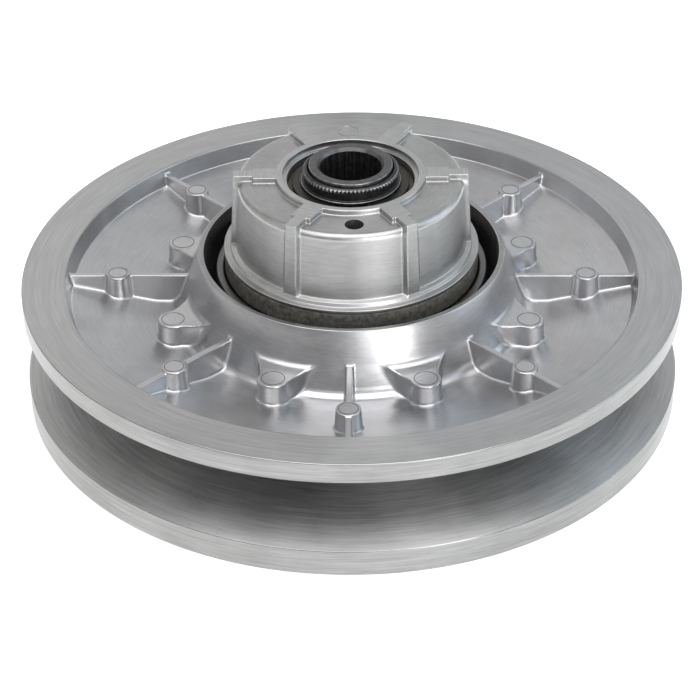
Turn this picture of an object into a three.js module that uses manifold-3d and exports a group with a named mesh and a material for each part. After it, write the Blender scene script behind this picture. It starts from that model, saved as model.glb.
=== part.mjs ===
// Torque-sensing driven pulley of a belt CVT (continuously variable transmission).
// Two cone-faced sheaves squeeze a V-belt. The lower sheave is bolted to a hollow post, and the
// upper one slides and twists on the post, pushed down by a spring inside the cup on top.
// Millimetres, +Z up along the shaft axis, origin at the centre of the lower rim's rest face.
import * as THREE from 'three';
import { mergeVertices } from 'three/addons/utils/BufferGeometryUtils.js';
import Module from 'manifold-3d';

const wasm = await Module();
wasm.setup();

// ---- driving dimensions ----------------------------------------------------------------------
const SIDES = 36;                   // facets of every turned surface
const SMALL_SIDES = 12;             // facets of screws, pins and bosses
const TAN_V = Math.tan(THREE.MathUtils.degToRad(13));   // belt faces slope 13 degrees

const RIM_R = 140;                  // outside radius of both sheaves
const RIM_INNER_R = 121.7;          // inner edge of each flat rim
const EDGE = 0.8;                   // chamfer on the rims
const FIXED_RIM_Z = 11.6;           // belt side of the fixed rim
const SLIDING_RIM_Z = 44.95;        // belt side of the sliding rim, closed
const RIM_TOP_Z = 53.7;             // flat top of the sliding rim
const WEB_RIB_TOP_Z = 50.7;         // tops of the eight web ribs
const WEB_PIN_TOP_Z = 51.4;         // tops of the round pins on them
const WEB_RIBS = 8;
const WEB_TURN_DEG = -1.03;         // the sliding sheave's ribs stand this far off the cup's straps
const PIN_CIRCLE_R = 99.9;          // circle of the pins
const PIN_TOP_R = 5;
const PIN_FOOT_R = 6;
const BOSS_CIRCLE_R = 80.3;         // circle of the tongue bosses round the collar
const COLLAR_TOP_Z = 64.4;

const POST_R = 21;                  // sliding diameter of the post
const POST_BORE_R = 17.8;
const POST_FLANGE_R = 36;
const POST_FOOT_Z = 2;
const POST_SHOULDER_Z = 98;
const POST_TOP_Z = 103.4;
const NOSE_R = 19.9;                // serrated nose of the post
const BUSH_R = 17.45;               // splined bush
const BUSH_TOP_Z = 104.7;
const SPLINE_TIP_R = 12.9;
const SPLINE_ROOT_R = 14;
const SPLINE_TEETH = 26;

const SCREW_CIRCLE_R = 29;          // six screws hold the post to the fixed sheave
const SCREWS = 6;
const HUB_FOOT_Z = 9.3;             // underside of the fixed hub, on the post flange

const CUP_TOP_Z = 100.6;            // ring and ribs of the spring cup
const CUP_SECTOR_Z = 98.3;          // sunk sectors between them
const CUP_CEILING_Z = 93;
const CUP_BORE_R = 26.6;
const CUP_CAVITY_R = 44.8;
const CUP_FLANGE_R = 53.8;
const CUP_FLANGE_Z = 65.3;
const CUP_SKIRT_R = 50.5;
const CUP_FOOT_Z = 56.5;
const CUP_RIBS = 6;

const SLIDING_FOOT_Z = 28.5;        // flat underside of the sliding hub
const SLIDING_BORE_R = 22.7;
const SLIDING_TUBE_R = 28;          // its tube, which carries the rollers
const SLIDING_TUBE_Z = 63.5;
const PAN_FLOOR_Z = 32;             // floor of the pan that the spring stands in
const GUIDE_BORE_R = 54.1;          // bore that slides over the guide band

const TRAVEL = 24;                  // the sliding sheave opens this far
const TWIST_DEG = 36;               // and turns this far while it does
const ROLLERS = 3;
const ROLLER_Z = 58;                // roller centres when closed
const ROLLER_R = 4.2;
const SLOT_GAP = 0.6;               // clearance between a roller and its slot's walls
const CAM_IN_R = 30;                // sleeve of the helix cam
const CAM_OUT_R = 35.5;
const CAM_MEAN_R = (CAM_IN_R + CAM_OUT_R) / 2;
const CAM_FOOT_Z = 56;
const CAM_DISC_Z = 88.5;            // underside of the cam's disc
const CAM_HUB_TOP_Z = 95;
const CAM_HUB_R = 26.3;
const GAP = 0.3;                    // clearance between touching pieces

const SPRING_WIRE_R = 2.75;
const SPRING_R = 40.8;              // mean radius of the coils
const SPRING_FOOT_Z = 36.4;
const SPRING_TURNS = 4.5;

const turn = (count, i, offset = 0) => ((i + offset) * 2 * Math.PI) / count;

// ---- geometry to solid and back ----------------------------------------------------------------
function solidOf(geometry) {
  const bare = geometry.index ? geometry.toNonIndexed() : geometry.clone();
  bare.deleteAttribute('normal');
  bare.deleteAttribute('uv');
  const merged = mergeVertices(bare, 1e-4);
  const index = merged.index.array;
  const kept = [];
  for (let i = 0; i < index.length; i += 3) {
    const [a, b, c] = [index[i], index[i + 1], index[i + 2]];
    if (a !== b && b !== c && c !== a) kept.push(a, b, c);
  }
  return new wasm.Manifold(new wasm.Mesh({
    numProp: 3,
    vertProperties: merged.attributes.position.array,
    triVerts: new Uint32Array(kept),
  }));
}

function geometryOf(solid) {
  const { vertProperties, triVerts } = solid.getMesh();
  const geometry = new THREE.BufferGeometry();
  geometry.setAttribute('position', new THREE.BufferAttribute(vertProperties, 3));
  geometry.setIndex(new THREE.BufferAttribute(triVerts, 1));
  const flat = geometry.toNonIndexed();
  flat.computeVertexNormals();
  return flat;
}

// A closed outline of [radius, z] corners turned about Z.
function turned(outline, sides = SIDES) {
  const points = outline.map(([r, z]) => new THREE.Vector2(r, z));
  if (THREE.ShapeUtils.area(points) < 0) points.reverse();
  points.push(points[0].clone());
  return solidOf(new THREE.LatheGeometry(points, sides).rotateX(Math.PI / 2));
}

function ring(innerR, outerR, lowZ, highZ, sides = SIDES) {
  return turned([[innerR, lowZ], [outerR, lowZ], [outerR, highZ], [innerR, highZ]], sides);
}

// A round bar along Z, with a different radius at each end where it is drafted.
function bar(x, y, lowZ, highZ, lowR, highR = lowR, sides = SMALL_SIDES) {
  const geometry = new THREE.CylinderGeometry(highR, lowR, highZ - lowZ, sides);
  geometry.rotateX(Math.PI / 2).translate(x, y, (lowZ + highZ) / 2);
  return solidOf(geometry);
}

// A box that reaches from one radius to another along the direction of an angle.
function radialBox(innerR, outerR, width, lowZ, highZ, angle) {
  const geometry = new THREE.BoxGeometry(outerR - innerR, width, highZ - lowZ);
  geometry.translate((innerR + outerR) / 2, 0, (lowZ + highZ) / 2).rotateZ(angle);
  return solidOf(geometry);
}

// A plate in the plane of the axis: an outline of [radius, z] corners, of even thickness.
function radialPlate(outline, thickness, angle) {
  const shape = new THREE.Shape(outline.map(([r, z]) => new THREE.Vector2(r, z)));
  const geometry = new THREE.ExtrudeGeometry(shape, { depth: thickness, bevelEnabled: false });
  geometry.translate(0, 0, -thickness / 2).rotateX(Math.PI / 2).rotateZ(angle);
  return solidOf(geometry);
}

const beltFaceUnder = (r) => SLIDING_RIM_Z - (RIM_R - r) * TAN_V;
const beltFaceOver = (r) => FIXED_RIM_Z + (RIM_R - r) * TAN_V;

// ---- sheaves -----------------------------------------------------------------------------------
const PAN_OUTLINE = [
  [SLIDING_BORE_R, SLIDING_FOOT_Z], [69.5, SLIDING_FOOT_Z],
  [RIM_R - EDGE, beltFaceUnder(RIM_R - EDGE)], [RIM_R, SLIDING_RIM_Z + EDGE],
  [RIM_R, RIM_TOP_Z - EDGE], [RIM_R - EDGE, RIM_TOP_Z], [RIM_INNER_R, RIM_TOP_Z],
  [119.4, 46.2], [84, 38.6], [77.2, 38.4], [74.2, 39.6], [72.6, 42.8], [69.4, 51.1],
  [66.8, 58.4], [65, 63.4], [64.2, COLLAR_TOP_Z], [63.4, COLLAR_TOP_Z], [62.8, 63.6],
  [62, 58], [60.5, 38], [58.8, 36.5], [57.4, 38], [57.4, 56.4], [56.9, 56.9],
  [54.7, 56.9], [GUIDE_BORE_R, 56.3], [GUIDE_BORE_R, PAN_FLOOR_Z], [37, PAN_FLOOR_Z],
  [36, 31.5], [SLIDING_TUBE_R, 31.5], [SLIDING_TUBE_R, SLIDING_TUBE_Z],
  [SLIDING_BORE_R, SLIDING_TUBE_Z],
];
const WEB_RIB_OUTLINE = [[66, 36], [120.6, 43.5], [120.6, WEB_RIB_TOP_Z], [66, WEB_RIB_TOP_Z]];
const BOSS_PROFILE = [[64, 37], [88, 37], [88, 48], [76, 48], [69, 50], [64, 50.6]];

// The tongue boss: a round pad that flares into the collar, with a top that rises towards it.
function tongueBoss(angle) {
  const padR = 6.4;
  const shape = new THREE.Shape();
  shape.moveTo(BOSS_CIRCLE_R - 13, -12.8);
  shape.quadraticCurveTo(BOSS_CIRCLE_R - 5.8, -8.5, BOSS_CIRCLE_R, -padR);
  shape.absarc(BOSS_CIRCLE_R, 0, padR, -Math.PI / 2, Math.PI / 2);
  shape.quadraticCurveTo(BOSS_CIRCLE_R - 5.8, 8.5, BOSS_CIRCLE_R - 13, 12.8);
  const options = { depth: 14, bevelEnabled: false, curveSegments: 4 };
  const pad = new THREE.ExtrudeGeometry(shape, options).translate(0, 0, 37).rotateZ(angle);
  return solidOf(pad).intersect(radialPlate(BOSS_PROFILE, 30, angle));
}

function slidingSheave() {
  const webTurn = THREE.MathUtils.degToRad(WEB_TURN_DEG);
  let solid = turned(PAN_OUTLINE);
  for (let i = 0; i < WEB_RIBS; i++) {
    const angle = webTurn + turn(WEB_RIBS, i);
    const [x, y] = [PIN_CIRCLE_R * Math.cos(angle), PIN_CIRCLE_R * Math.sin(angle)];
    solid = solid.add(radialPlate(WEB_RIB_OUTLINE, 2.6, angle));
    solid = solid.add(bar(x, y, 38.5, WEB_PIN_TOP_Z, PIN_FOOT_R, PIN_TOP_R, 10));
    solid = solid.add(tongueBoss(webTurn + turn(WEB_RIBS, i, 0.5)));
  }
  for (let i = 0; i < ROLLERS; i++) {
    const hole = bar(0, 0, 24, 40, 2.5, 2.5, 12);
    solid = solid.subtract(alongRadius(hole, i));
  }
  return solid;
}

function fixedSheave() {
  const webDrop = 6.2;
  let solid = turned([
    [POST_R + GAP, HUB_FOOT_Z], [45, HUB_FOOT_Z], [46.5, 20], [66, 20],
    [119.6, beltFaceOver(119.6) - webDrop], [RIM_INNER_R, 0], [RIM_R - EDGE, 0],
    [RIM_R, EDGE], [RIM_R, FIXED_RIM_Z - EDGE], [RIM_R - EDGE, beltFaceOver(RIM_R - EDGE)],
    [70, beltFaceOver(70)], [66.5, 26.2], [POST_R + GAP, 26.2],
  ]);
  const rib = [[44, 12], [50, 3.5], [120.4, 3.5], [120.4, 13], [70, 24], [44, 24]];
  for (let i = 0; i < WEB_RIBS; i++) {
    const angle = turn(WEB_RIBS, i, 0.5);
    const [x, y] = [PIN_CIRCLE_R * Math.cos(angle), PIN_CIRCLE_R * Math.sin(angle)];
    solid = solid.add(radialPlate(rib, 3, angle));
    solid = solid.add(bar(x, y, 2.5, 18, PIN_TOP_R, PIN_FOOT_R, 10));
  }
  for (let i = 0; i < SCREWS; i++) {
    const angle = turn(SCREWS, i);
    const [x, y] = [SCREW_CIRCLE_R * Math.cos(angle), SCREW_CIRCLE_R * Math.sin(angle)];
    solid = solid.subtract(bar(x, y, HUB_FOOT_Z - 1, 21.5, 3.3));
  }
  return solid;
}

// ---- post, bush and their fasteners ------------------------------------------------------------
const KEYS = 3;
const KEY_WIDTH = 4;
const keyAngle = (i) => turn(KEYS, i, 0.25);
const CLIP_LOW_Z = 95.3;
const CLIP_HIGH_Z = 96.7;

function centrePost() {
  const grooveR = 19.6;
  let solid = turned([
    [POST_BORE_R, POST_FOOT_Z], [POST_FLANGE_R - 1, POST_FOOT_Z],
    [POST_FLANGE_R, POST_FOOT_Z + 1], [POST_FLANGE_R, HUB_FOOT_Z - GAP],
    [POST_R, HUB_FOOT_Z - GAP], [POST_R, CLIP_LOW_Z - GAP], [grooveR, CLIP_LOW_Z - GAP],
    [grooveR, CLIP_HIGH_Z + GAP], [POST_R, CLIP_HIGH_Z + GAP],
    [POST_R, POST_SHOULDER_Z - 0.4], [POST_R - 0.4, POST_SHOULDER_Z],
    [NOSE_R, POST_SHOULDER_Z], [NOSE_R, POST_TOP_Z - 0.6], [NOSE_R - 0.6, POST_TOP_Z],
    [POST_BORE_R + 0.6, POST_TOP_Z], [POST_BORE_R, POST_TOP_Z - 0.6],
  ]);
  for (let i = 0; i < SCREWS; i++) {
    const angle = turn(SCREWS, i);
    const [x, y] = [SCREW_CIRCLE_R * Math.cos(angle), SCREW_CIRCLE_R * Math.sin(angle)];
    solid = solid.subtract(bar(x, y, POST_FOOT_Z - 1, POST_FOOT_Z + 4, 5.4));
    solid = solid.subtract(bar(x, y, POST_FOOT_Z - 1, HUB_FOOT_Z + 1, 3.3));
  }
  for (let i = 0; i < KEYS; i++) {
    solid = solid.subtract(radialBox(19.3, 23, KEY_WIDTH + 2 * GAP, 89, 94.6, keyAngle(i)));
  }
  return solid;
}

function splinedBush() {
  const shape = new THREE.Shape();
  for (let i = 0; i < SIDES; i++) {
    const angle = turn(SIDES, i);
    const [x, y] = [BUSH_R * Math.cos(angle), BUSH_R * Math.sin(angle)];
    if (i === 0) shape.moveTo(x, y);
    else shape.lineTo(x, y);
  }
  const spline = [];
  for (let i = 0; i < SPLINE_TEETH; i++) {
    const corners = [[SPLINE_ROOT_R, -0.25], [SPLINE_ROOT_R, 0.15],
                     [SPLINE_TIP_R, 0.3], [SPLINE_TIP_R, 0.6]];
    for (const [r, share] of corners) {
      const angle = turn(SPLINE_TEETH, i, share);
      spline.push(new THREE.Vector2(r * Math.cos(angle), r * Math.sin(angle)));
    }
  }
  shape.holes.push(new THREE.Path(spline.reverse()));
  const depth = BUSH_TOP_Z - POST_FOOT_Z;
  const geometry = new THREE.ExtrudeGeometry(shape, { depth, bevelEnabled: false });
  return solidOf(geometry.translate(0, 0, POST_FOOT_Z));
}

function postScrew() {
  const headR = 5;
  const shankR = 3;
  const headTop = POST_FOOT_Z + 3.7;
  const screw = bar(0, 0, POST_FOOT_Z + 0.2, headTop, headR)
    .add(bar(0, 0, headTop - 0.5, 20.8, shankR));
  return screw.subtract(bar(0, 0, 0, POST_FOOT_Z + 2.6, 2.6, 2.6, 6));
}

function retainingRing() {
  const [innerR, outerR, halfGap] = [19.95, 24.4, 0.32];
  const shape = new THREE.Shape();
  shape.absarc(0, 0, outerR, halfGap, 2 * Math.PI - halfGap, false);
  shape.absarc(0, 0, innerR, 2 * Math.PI - halfGap, halfGap, true);
  for (const side of [-1, 1]) {
    const eye = new THREE.Path();
    const angle = side * (halfGap + 0.09);
    const middle = (innerR + outerR) / 2;
    eye.absarc(middle * Math.cos(angle), middle * Math.sin(angle), 1, 0, 2 * Math.PI, true);
    shape.holes.push(eye);
  }
  const options = { depth: CLIP_HIGH_Z - CLIP_LOW_Z, bevelEnabled: false, curveSegments: 12 };
  const geometry = new THREE.ExtrudeGeometry(shape, options);
  return solidOf(geometry.translate(0, 0, CLIP_LOW_Z).rotateZ(-Math.PI / 2));
}

// ---- spring cup and helix cam --------------------------------------------------------------------
const dowelAngle = (i) => turn(ROLLERS, i, -0.08);

function springCup() {
  let solid = turned([
    [CUP_BORE_R, CUP_CEILING_Z], [CUP_CAVITY_R, CUP_CEILING_Z], [CUP_CAVITY_R, CUP_FOOT_Z],
    [CUP_SKIRT_R, CUP_FOOT_Z], [CUP_SKIRT_R, CUP_FLANGE_Z], [CUP_FLANGE_R, CUP_FLANGE_Z],
    [52, 66.8], [51.1, 66.8], [50.9, 68], [49.4, 68.4], [48.6, 80], [47.7, 94], [46.8, 96.8],
    [44.5, CUP_SECTOR_Z], [31.2, CUP_SECTOR_Z], [30.9, CUP_TOP_Z], [28.6, CUP_TOP_Z],
    [28.2, 100.2], [28.2, 98], [CUP_BORE_R, 98],
  ]);
  const strap = [[29.4, 95], [29.4, CUP_TOP_Z], [48, CUP_TOP_Z], [49.4, 99.2], [50.6, 67.2],
                 [46.4, 67.2], [46.4, 95]];
  for (let i = 0; i < CUP_RIBS; i++) {
    const angle = turn(CUP_RIBS, i);
    solid = solid.add(radialPlate(strap, 5.4, angle));
    solid = solid.add(radialBox(29.4, 40.8, 8.8, 96, CUP_TOP_Z, angle));
  }
  for (let i = 0; i < ROLLERS; i++) {
    const angle = dowelAngle(i);
    const [x, y] = [CAM_MEAN_R * Math.cos(angle), CAM_MEAN_R * Math.sin(angle)];
    solid = solid.subtract(bar(x, y, CUP_CEILING_Z - 1, 96.9, 1.8, 1.8, 12));
  }
  return solid.subtract(bar(1.2, -38.2, CUP_CEILING_Z - 1, CUP_TOP_Z, 3.9));
}

// A slot outline drawn flat, with x as the arc length round the cam, then wrapped round Z.
function helicalCutter(startAngle) {
  const halfWidth = ROLLER_R + SLOT_GAP;
  const sweep = THREE.MathUtils.degToRad(TWIST_DEG) * CAM_MEAN_R;
  const along = new THREE.Vector2(sweep, TRAVEL).normalize();
  const across = new THREE.Vector2(-along.y, along.x);
  const low = new THREE.Vector2(0, ROLLER_Z).addScaledVector(along, -14);
  const high = new THREE.Vector2(sweep, ROLLER_Z + TRAVEL);
  const steps = 10;
  const outline = [];
  for (let i = 0; i <= steps; i++) {
    outline.push(low.clone().lerp(high, i / steps).addScaledVector(across, -halfWidth));
  }
  const tilt = Math.atan2(along.y, along.x);
  for (let i = 1; i < 6; i++) {
    const angle = tilt - Math.PI / 2 + (i * Math.PI) / 6;
    const end = new THREE.Vector2(Math.cos(angle), Math.sin(angle));
    outline.push(high.clone().addScaledVector(end, halfWidth));
  }
  for (let i = steps; i >= 0; i--) {
    outline.push(low.clone().lerp(high, i / steps).addScaledVector(across, halfWidth));
  }
  const [innerR, outerR] = [CAM_IN_R - 1.6, CAM_OUT_R + 7];
  const options = { depth: outerR - innerR, bevelEnabled: false };
  const geometry = new THREE.ExtrudeGeometry(new THREE.Shape(outline), options);
  const place = geometry.attributes.position;
  for (let i = 0; i < place.count; i++) {
    const angle = startAngle + place.getX(i) / CAM_MEAN_R;
    const r = innerR + place.getZ(i);
    place.setXYZ(i, r * Math.cos(angle), r * Math.sin(angle), place.getY(i));
  }
  return solidOf(geometry);
}

function helixCam() {
  let solid = turned([
    [POST_R + GAP, CAM_DISC_Z], [CAM_IN_R, CAM_DISC_Z], [CAM_IN_R, CAM_FOOT_Z],
    [CAM_OUT_R, CAM_FOOT_Z], [CAM_OUT_R, CUP_CEILING_Z - GAP],
    [CAM_HUB_R, CUP_CEILING_Z - GAP], [CAM_HUB_R, CAM_HUB_TOP_Z],
    [POST_R + GAP, CAM_HUB_TOP_Z],
  ]);
  for (let i = 0; i < ROLLERS; i++) {
    const angle = dowelAngle(i);
    const [x, y] = [CAM_MEAN_R * Math.cos(angle), CAM_MEAN_R * Math.sin(angle)];
    solid = solid.subtract(helicalCutter(turn(ROLLERS, i)));
    solid = solid.subtract(bar(x, y, 86.5, 94, 1.8, 1.8, 12));
  }
  for (let i = 0; i < KEYS; i++) {
    solid = solid.subtract(radialBox(20, 23.5, KEY_WIDTH + 2 * GAP, 87, 96, keyAngle(i)));
  }
  return solid;
}

// ---- spring, seat and rollers --------------------------------------------------------------------
class CoilCurve extends THREE.Curve {
  getPoint(t, target = new THREE.Vector3()) {
    const low = SPRING_FOOT_Z + GAP + SPRING_WIRE_R;
    const high = CUP_CEILING_Z - 2 * GAP - SPRING_WIRE_R;
    const closedEnds = 0.42;        // flattens the pitch of the first and last coil
    const rise = t - (closedEnds * Math.sin(2 * Math.PI * t)) / (2 * Math.PI);
    const angle = t * SPRING_TURNS * 2 * Math.PI;
    return target.set(SPRING_R * Math.cos(angle), SPRING_R * Math.sin(angle),
      low + rise * (high - low));
  }
}

function spring() {
  const wire = new THREE.Shape();
  wire.absarc(0, 0, SPRING_WIRE_R, 0, 2 * Math.PI);
  const options = { steps: 72, curveSegments: 4, extrudePath: new CoilCurve() };
  return solidOf(new THREE.ExtrudeGeometry(wire, options));
}

function springSeat() {
  return turned([[36.2, 34.1], [44.2, 34.1], [44.2, 36.1], [36.8, 36.1], [36.8, 40],
    [36.2, 40]]);
}

// Turns a piece that stands on Z so that it points out along roller i's radius.
function alongRadius(solid, i) {
  const geometry = geometryOf(solid).rotateY(Math.PI / 2);
  return solidOf(geometry.translate(0, 0, ROLLER_Z).rotateZ(turn(ROLLERS, i)));
}

function rollerPin(i) {
  const shank = bar(0, 0, 24.3, 36.2, 2.2, 2.2, 12);
  return alongRadius(shank.add(bar(0, 0, 35.6, 36.9, 3.1, 3.1, 12)), i);
}

function roller(i) {
  return alongRadius(ring(2.5, ROLLER_R, 28.7, 35.3, 14), i);
}

// ---- finishes --------------------------------------------------------------------------------------
function finish(color, roughness, metalness) {
  return new THREE.MeshStandardMaterial({ color, roughness, metalness });
}
const castAluminium = finish(0xb4b6b8, 0.42, 1);
const cupAluminium = finish(0xbcbcba, 0.36, 1);
const blackSteel = finish(0x26262a, 0.4, 0.9);
const bareSteel = finish(0x9a9a98, 0.3, 1);
const springSteel = finish(0x4c4f55, 0.35, 0.9);
const brownPolymer = finish(0x3c3a30, 0.6, 0);
const bronze = finish(0x9b7a45, 0.45, 0.9);

// ---- assembly --------------------------------------------------------------------------------------
function piece(name, solid, material) {
  const mesh = new THREE.Mesh(geometryOf(solid), material);
  mesh.name = name;
  return mesh;
}

const pulley = new THREE.Group();
const fixedGroup = new THREE.Group();
const slidingGroup = new THREE.Group();
pulley.add(fixedGroup, slidingGroup);

fixedGroup.add(
  piece('fixed_sheave', fixedSheave(), castAluminium),
  piece('centre_post', centrePost(), blackSteel),
  piece('splined_bush', splinedBush(), blackSteel),
  piece('closing_bumper', ring(40, 60, 26.5, 28.2), brownPolymer),
  piece('spring_cup', springCup(), cupAluminium),
  piece('helix_cam', helixCam(), bareSteel),
  piece('guide_band', ring(CUP_SKIRT_R + GAP, 53.7, 56.8, 65), brownPolymer),
  piece('retaining_ring', retainingRing(), blackSteel),
);
for (let i = 0; i < SCREWS; i++) {
  const screw = piece(`post_screw_${i + 1}`, postScrew(), blackSteel);
  const angle = turn(SCREWS, i);
  screw.position.set(SCREW_CIRCLE_R * Math.cos(angle), SCREW_CIRCLE_R * Math.sin(angle), 0);
  fixedGroup.add(screw);
}
for (let i = 0; i < KEYS; i++) {
  const key = radialBox(19.6, 23.2, KEY_WIDTH, 89.3, 94.3, keyAngle(i));
  fixedGroup.add(piece(`drive_key_${i + 1}`, key, bareSteel));
}
for (let i = 0; i < ROLLERS; i++) {
  const dowel = piece(`cam_dowel_${i + 1}`, bar(0, 0, 86.8, 96.6, 1.5, 1.5, 12), bareSteel);
  const angle = dowelAngle(i);
  dowel.position.set(CAM_MEAN_R * Math.cos(angle), CAM_MEAN_R * Math.sin(angle), 0);
  fixedGroup.add(dowel);
}

slidingGroup.add(
  piece('sliding_sheave', slidingSheave(), castAluminium),
  piece('lower_bushing', ring(POST_R + GAP, SLIDING_BORE_R - GAP, 29, 41), bronze),
  piece('upper_bushing', ring(POST_R + GAP, SLIDING_BORE_R - GAP, 50, 62), bronze),
  piece('thrust_washer', ring(37.3, 44, PAN_FLOOR_Z + GAP, 33.8), brownPolymer),
  piece('spring_seat', springSeat(), bareSteel),
  piece('compression_spring', spring(), springSteel),
);
for (let i = 0; i < ROLLERS; i++) {
  slidingGroup.add(
    piece(`roller_pin_${i + 1}`, rollerPin(i), bareSteel),
    piece(`cam_roller_${i + 1}`, roller(i), brownPolymer),
  );
}

export default pulley;
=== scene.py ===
# Looks of the driven CVT pulley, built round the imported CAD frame.
# Shapes are worked out in millimetres and scaled to metres as each mesh is made.
import math

import bpy
import bmesh
import numpy as np
from mathutils import Matrix, Vector


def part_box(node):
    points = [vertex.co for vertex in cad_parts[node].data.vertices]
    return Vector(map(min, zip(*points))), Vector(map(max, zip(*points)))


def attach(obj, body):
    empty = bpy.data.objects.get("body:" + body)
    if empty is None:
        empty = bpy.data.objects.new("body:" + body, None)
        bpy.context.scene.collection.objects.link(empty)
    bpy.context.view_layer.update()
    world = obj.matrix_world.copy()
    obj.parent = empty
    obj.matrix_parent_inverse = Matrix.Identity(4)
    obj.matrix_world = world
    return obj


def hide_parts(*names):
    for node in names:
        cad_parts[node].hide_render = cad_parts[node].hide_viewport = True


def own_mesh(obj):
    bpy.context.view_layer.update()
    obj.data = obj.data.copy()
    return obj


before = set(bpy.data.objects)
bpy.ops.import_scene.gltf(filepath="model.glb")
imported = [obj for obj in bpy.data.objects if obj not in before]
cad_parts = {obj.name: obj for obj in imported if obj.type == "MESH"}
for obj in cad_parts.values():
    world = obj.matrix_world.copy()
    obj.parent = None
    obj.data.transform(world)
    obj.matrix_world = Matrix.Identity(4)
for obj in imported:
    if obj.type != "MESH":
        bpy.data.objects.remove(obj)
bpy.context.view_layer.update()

MM = 0.001
TURN = 2 * math.pi


# ---- driving dimensions, in mm: places from the frame, shapes as named values --------------------
def corners(node):
    low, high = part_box(node)
    return [v / MM for v in low], [v / MM for v in high]


(_, _, FIXED_FOOT), (RIM_R, _, _) = corners("fixed_sheave")
(_, _, SLIDING_FOOT), (_, _, COLLAR_TOP) = corners("sliding_sheave")
(_, _, POST_FOOT), (POST_FLANGE_R, _, POST_TOP) = corners("centre_post")
(_, _, BUSH_FOOT), (BUSH_R, _, BUSH_TOP) = corners("splined_bush")
(_, _, CUP_FOOT), (CUP_FLANGE_R, _, CUP_TOP) = corners("spring_cup")
(_, _, CLIP_LOW), (_, _, CLIP_HIGH) = corners("retaining_ring")

# both sheaves
TAN_V = math.tan(math.radians(13))
RIM_INNER_R = 121.7
BELT_FROM_R = 68.0
WEB_SECTORS = 8
PIN_CIRCLE_R = 99.9
PIN_R = 5.0
PIN_DRAFT = 0.075
RIM_EDGE = 0.5

# sliding sheave
SLIDING_RIM_LOW = COLLAR_TOP - 19.45
SLIDING_RIM_TOP = COLLAR_TOP - 10.7
WEB_TURN = math.radians(-1.03)
WEB_RIB_TOP = COLLAR_TOP - 13.7
WEB_PIN_TOP = COLLAR_TOP - 13.0
WEB_RIB_HALF = 1.25
WEB_RIB_FROM, WEB_RIB_TO = 64, 121.5
WEB_DRAFT = 0.035
BOSS_CIRCLE_R = 80.3
BOSS_R = 6.3
BOSS_TOP = COLLAR_TOP - 16.4
BOSS_FROM = 62
SLIDING_HUB_R, SLIDING_BELT_R = 66, 69.5
COLLAR_BORE_R, COLLAR_R = 62.55, 64.7
GUIDE_BORE_R, GUIDE_R, GUIDE_TOP = 54.1, 57.4, 56.9
TUBE_BORE_R, TUBE_R, TUBE_TOP = 22.7, 28.0, 63.5
WELL_FLOOR = 32.0

# fixed sheave
FIXED_RIM_TOP = FIXED_FOOT + 11.6
FIXED_HUB_FOOT = FIXED_FOOT + 9.3
FIXED_HUB_TOP = FIXED_FOOT + 26.2
FIXED_HUB_R, FIXED_BELT_R = 66.5, 70
FIXED_BORE_R = 21.3
UNDER_TURN = math.radians(180 / WEB_SECTORS)
UNDER_RIB_FOOT = 3.5
UNDER_PIN_FOOT = UNDER_RIB_FOOT - 1
UNDER_RIB_HALF = 1.1
UNDER_RIB_FROM, UNDER_RIB_TO = 44, 121
UNDER_HUB_R = 45
UNDER_DRAFT = 0.05

# spring cup
CUP_SECTORS = 6
CUP_SECTOR_TOP = CUP_TOP - 2.3
CUP_LEDGE = CUP_TOP - 32.2
CUP_FLANGE_TOP = CUP_TOP - 33.8
CUP_FLANGE_LOW = 65.3
CUP_CEILING = CUP_TOP - 7.6
CUP_WALL_BORE_R, CUP_WALL_R = 44.8, 50.5
CUP_BORE_R = 26.6
CUP_RECESS_R, CUP_RECESS_FLOOR = 28.2, 98
CUP_HOLE_X, CUP_HOLE_Y, CUP_HOLE_R = 1.2, -38.2, 3.9
CUP_BLOCK_HALF, CUP_BLOCK_R = 4.3, 40.7
CUP_STRAP_HALF, CUP_STRAP_R = 2.5, 48.9
DOWELS, DOWEL_CIRCLE_R = 3, 32.75
DOWEL_HOLE_R, DOWEL_HOLE_TOP = 1.8, 96.9
DOWEL_TURN = -0.08 * TURN / DOWELS

# centre
POST_R = 21.0
POST_BORE_R = 17.8
POST_FLANGE_TOP = 9.0
NOSE_R = 19.9
SERRATIONS = 72
SPLINE_TEETH = 26
SPLINE_ROOT_R, SPLINE_TIP_R = 14.0, 12.9
CLIP_GROOVE_R = 19.6
CLIP_TURN = math.radians(-90)

# screws and spring
SCREWS = 6
SCREW_CIRCLE_R = 29.0
SCREW_R, SCREW_HOLE_R, SCREW_HOLE_TOP = 3.0, 3.3, 21.5
SCREW_HEAD_R, SCREW_HEAD_HOLE_R, SCREW_HEAD_HEIGHT = 5.0, 5.4, 3.6
SOCKET_HALF, SOCKET_DEPTH = 2.25, 2.4
SEAT_PLATE = 2.0
ROUND_SIDES = 48

# faces that meet at more than these angles keep a sharp edge
SHARP_DEGREES = 32.0
NET_SHARP_DEGREES = 60.0


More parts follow.
